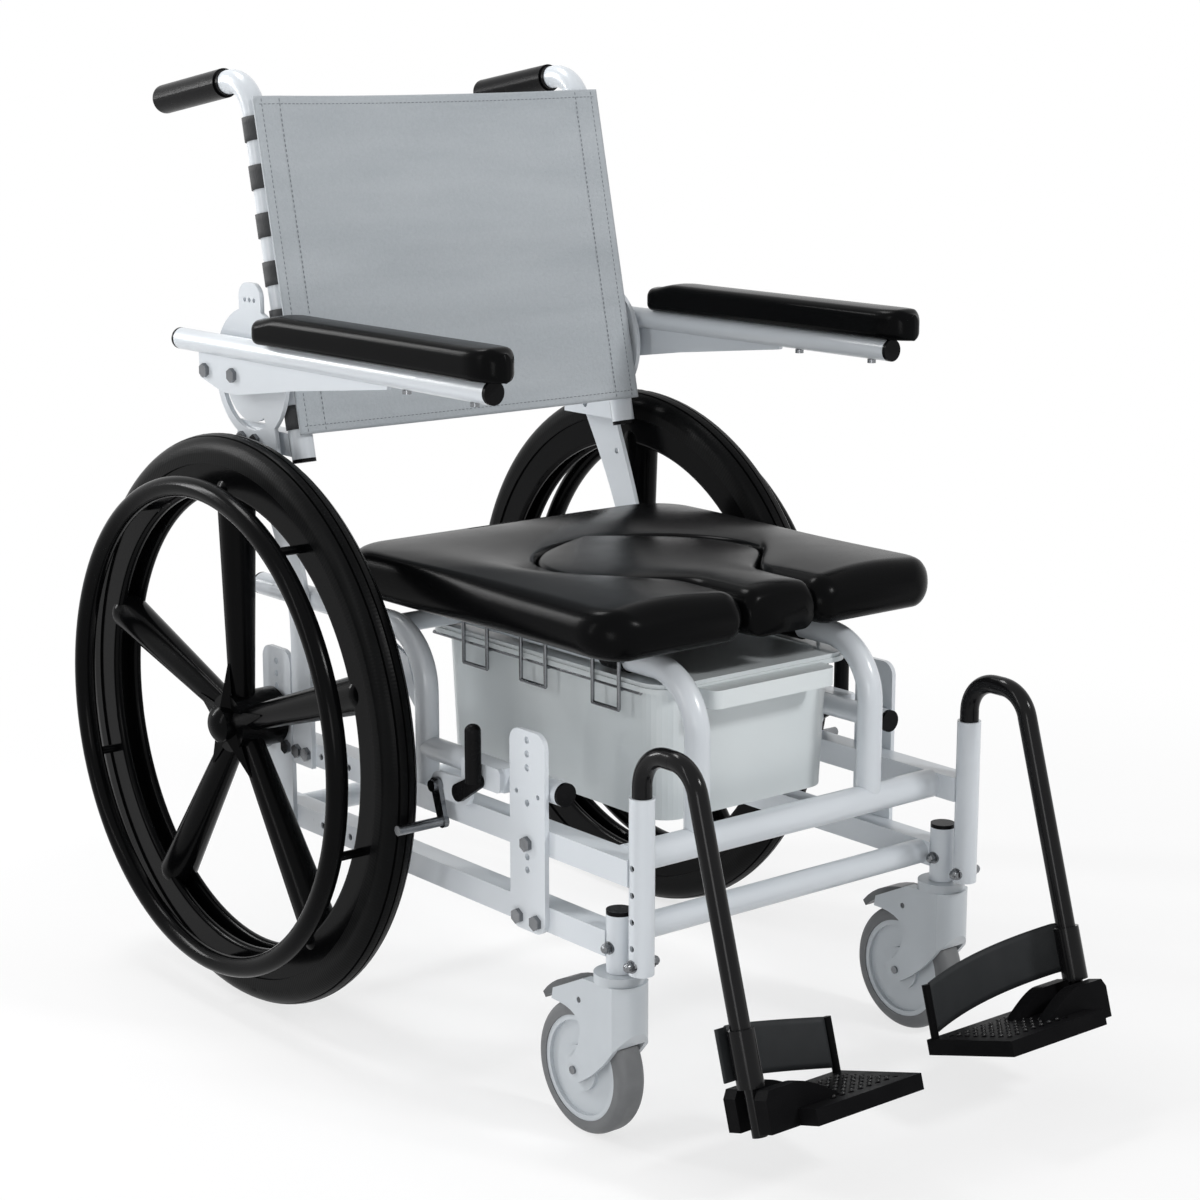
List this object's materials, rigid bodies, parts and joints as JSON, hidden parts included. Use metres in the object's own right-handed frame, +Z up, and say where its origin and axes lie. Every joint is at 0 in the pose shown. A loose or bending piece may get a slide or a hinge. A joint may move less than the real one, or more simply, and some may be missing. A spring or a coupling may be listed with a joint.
{
  "type": "shower commode chair",
  "caption": "Self-propelled shower commode chair: tubular frame, spoked drive wheels with handrims, swivel casters, keyhole seat, sling back, lifting armrests and swing-away footrests.",
  "frame": {"origin": "on the floor, at the middle of the overall width and length", "axes": "+Z up, the user faces -Y, +X to the user's left"},
  "size_m": [0.669, 1.1024, 0.9802],
  "materials": {
    "powder_coat": "gloss powder coat",
    "zinc": "zinc plated",
    "black_gloss": "gloss moulded",
    "black_coat": "gloss coat",
    "black_plastic": "satin moulded",
    "black_pu": "satin integral foam",
    "tyre_rubber": "matte",
    "caster_rubber": "matte",
    "white_plastic": "gloss moulded",
    "grey_plastic": "satin moulded",
    "pan_plastic": "gloss moulded",
    "sling_fabric": "felted mesh",
    "strap_fabric": "woven webbing"
  },
  "bodies": {
    "frame": {"side_rails": "powder_coat", "cross_tubes": "powder_coat", "front_seat_legs": "powder_coat", "rear_seat_legs": "powder_coat", "front_plates": "powder_coat", "axle_plates": "powder_coat", "wheel_axles": "zinc", "back_carriers": "powder_coat", "back_brackets": "powder_coat", "back_tubes": "powder_coat", "push_grips": "black_plastic", "back_sling": "sling_fabric", "sling_straps": "strap_fabric", "arm_hinge_plates": "powder_coat", "front_sockets": "powder_coat", "tube_plugs": "black_plastic", "frame_bolts": "zinc", "lock_brackets": "powder_coat", "pan_guides": "zinc", "seat_clips": "black_plastic", "seat_cushion": "black_pu"},
    "seat_lid": {"seat_insert": "black_pu"},
    "pan": {"commode_pan": "pan_plastic", "pan_lid": "pan_plastic"},
    "drive_wheel_left": {"wheel_left": "black_gloss", "tyre_left": "tyre_rubber", "handrim_left": "black_coat", "hub_cover_left": "black_gloss"},
    "caster_left": {"caster_fork_left": "white_plastic", "caster_stem_left": "zinc"},
    "caster_roller_left": {"caster_wheel_left": "white_plastic", "caster_tyre_left": "caster_rubber"},
    "caster_brake_left": {"caster_pedal_left": "grey_plastic"},
    "arm_left": {"armrest_left": "powder_coat", "arm_pad_left": "black_pu", "arm_bolts_left": "zinc", "arm_plugs_left": "black_plastic"},
    "legrest_left": {"hanger_left": "black_coat", "heel_strap_left": "strap_fabric"},
    "foot_left": {"footplate_left": "black_plastic"},
    "lever_left": {"lock_lever_left": "black_plastic"},
    "pin_left": {"lock_pin_left": "zinc"},
    "drive_wheel_right": {"wheel_right": "black_gloss", "tyre_right": "tyre_rubber", "handrim_right": "black_coat", "hub_cover_right": "black_gloss"},
    "caster_right": {"caster_fork_right": "white_plastic", "caster_stem_right": "zinc"},
    "caster_roller_right": {"caster_wheel_right": "white_plastic", "caster_tyre_right": "caster_rubber"},
    "caster_brake_right": {"caster_pedal_right": "grey_plastic"},
    "arm_right": {"armrest_right": "powder_coat", "arm_pad_right": "black_pu", "arm_bolts_right": "zinc", "arm_plugs_right": "black_plastic"},
    "legrest_right": {"hanger_right": "black_coat", "heel_strap_right": "strap_fabric"},
    "foot_right": {"footplate_right": "black_plastic"},
    "lever_right": {"lock_lever_right": "black_plastic"},
    "pin_right": {"lock_pin_right": "zinc"}
  },
  "joints": [
    {"name": "seat_insert_lift", "type": "slide", "parent": "frame", "child": "seat_lid", "axis": [0, 0, 1], "range_m": [0, 0.09]},
    {"name": "pan_draw", "type": "slide", "parent": "frame", "child": "pan", "axis": [0, 1, 0], "range_m": [0, 0.4]},
    {"name": "wheel_spin_left", "type": "hinge", "parent": "frame", "child": "drive_wheel_left", "pos_m": [0.274, 0.24625, 0.305], "axis": [1, 0, 0], "continuous": true},
    {"name": "caster_swivel_left", "type": "hinge", "parent": "frame", "child": "caster_left", "pos_m": [0.2135, -0.30775, 0.17], "axis": [0, 0, 1], "continuous": true},
    {"name": "caster_roll_left", "type": "hinge", "parent": "caster_left", "child": "caster_roller_left", "pos_m": [0.2135, -0.26675, 0.065], "axis": [1, 0, 0], "continuous": true},
    {"name": "caster_pedal_press_left", "type": "hinge", "parent": "caster_left", "child": "caster_brake_left", "pos_m": [0.2135, -0.27475, 0.137], "axis": [-1, 0, 0], "range_deg": [0, 6]},
    {"name": "armrest_lift_left", "type": "hinge", "parent": "frame", "child": "arm_left", "pos_m": [0.2555, 0.27225, 0.668], "axis": [-1, 0, 0], "range_deg": [0, 50]},
    {"name": "footrest_swing_left", "type": "hinge", "parent": "frame", "child": "legrest_left", "pos_m": [0.2135, -0.33975, 0.3], "axis": [0, 0, 1], "range_deg": [0, 90]},
    {"name": "footplate_flip_left", "type": "hinge", "parent": "legrest_left", "child": "foot_left", "pos_m": [0.1895, -0.49538, 0.09506], "axis": [0, 0.9588, -0.284], "range_deg": [0, 88], "deforming": ["heel_strap_left"]},
    {"name": "lock_lever_turn_left", "type": "hinge", "parent": "frame", "child": "lever_left", "pos_m": [0.2364, -0.09375, 0.297], "axis": [1, 0, 0], "range_deg": [0, 55]},
    {"name": "lock_pin_turn_left", "type": "hinge", "parent": "frame", "child": "pin_left", "pos_m": [0.2364, -0.05575, 0.296], "axis": [1, 0, 0], "range_deg": [0, 9.35]},
    {"name": "wheel_spin_right", "type": "hinge", "parent": "frame", "child": "drive_wheel_right", "pos_m": [-0.274, 0.24625, 0.305], "axis": [1, 0, 0], "continuous": true},
    {"name": "caster_swivel_right", "type": "hinge", "parent": "frame", "child": "caster_right", "pos_m": [-0.2135, -0.30775, 0.17], "axis": [0, 0, 1], "continuous": true},
    {"name": "caster_roll_right", "type": "hinge", "parent": "caster_right", "child": "caster_roller_right", "pos_m": [-0.2135, -0.26675, 0.065], "axis": [1, 0, 0], "continuous": true},
    {"name": "caster_pedal_press_right", "type": "hinge", "parent": "caster_right", "child": "caster_brake_right", "pos_m": [-0.2135, -0.27475, 0.137], "axis": [-1, 0, 0], "range_deg": [0, 6]},
    {"name": "armrest_lift_right", "type": "hinge", "parent": "frame", "child": "arm_right", "pos_m": [-0.2555, 0.27225, 0.668], "axis": [-1, 0, 0], "range_deg": [0, 50]},
    {"name": "footrest_swing_right", "type": "hinge", "parent": "frame", "child": "legrest_right", "pos_m": [-0.2135, -0.33975, 0.3], "axis": [0, 0, -1], "range_deg": [0, 90]},
    {"name": "footplate_flip_right", "type": "hinge", "parent": "legrest_right", "child": "foot_right", "pos_m": [-0.1895, -0.49538, 0.09506], "axis": [0, -0.9588, 0.284], "range_deg": [0, 88], "deforming": ["heel_strap_right"]},
    {"name": "lock_lever_turn_right", "type": "hinge", "parent": "frame", "child": "lever_right", "pos_m": [-0.2364, -0.09375, 0.297], "axis": [1, 0, 0], "range_deg": [0, 55]},
    {"name": "lock_pin_turn_right", "type": "hinge", "parent": "frame", "child": "pin_right", "pos_m": [-0.2364, -0.05575, 0.296], "axis": [1, 0, 0], "range_deg": [0, 9.35]}
  ],
  "couplings": [
    {"joint": "lock_pin_turn_left", "follows": "lock_lever_turn_left", "ratio": 0.17},
    {"joint": "lock_pin_turn_right", "follows": "lock_lever_turn_right", "ratio": 0.17}
  ]
}
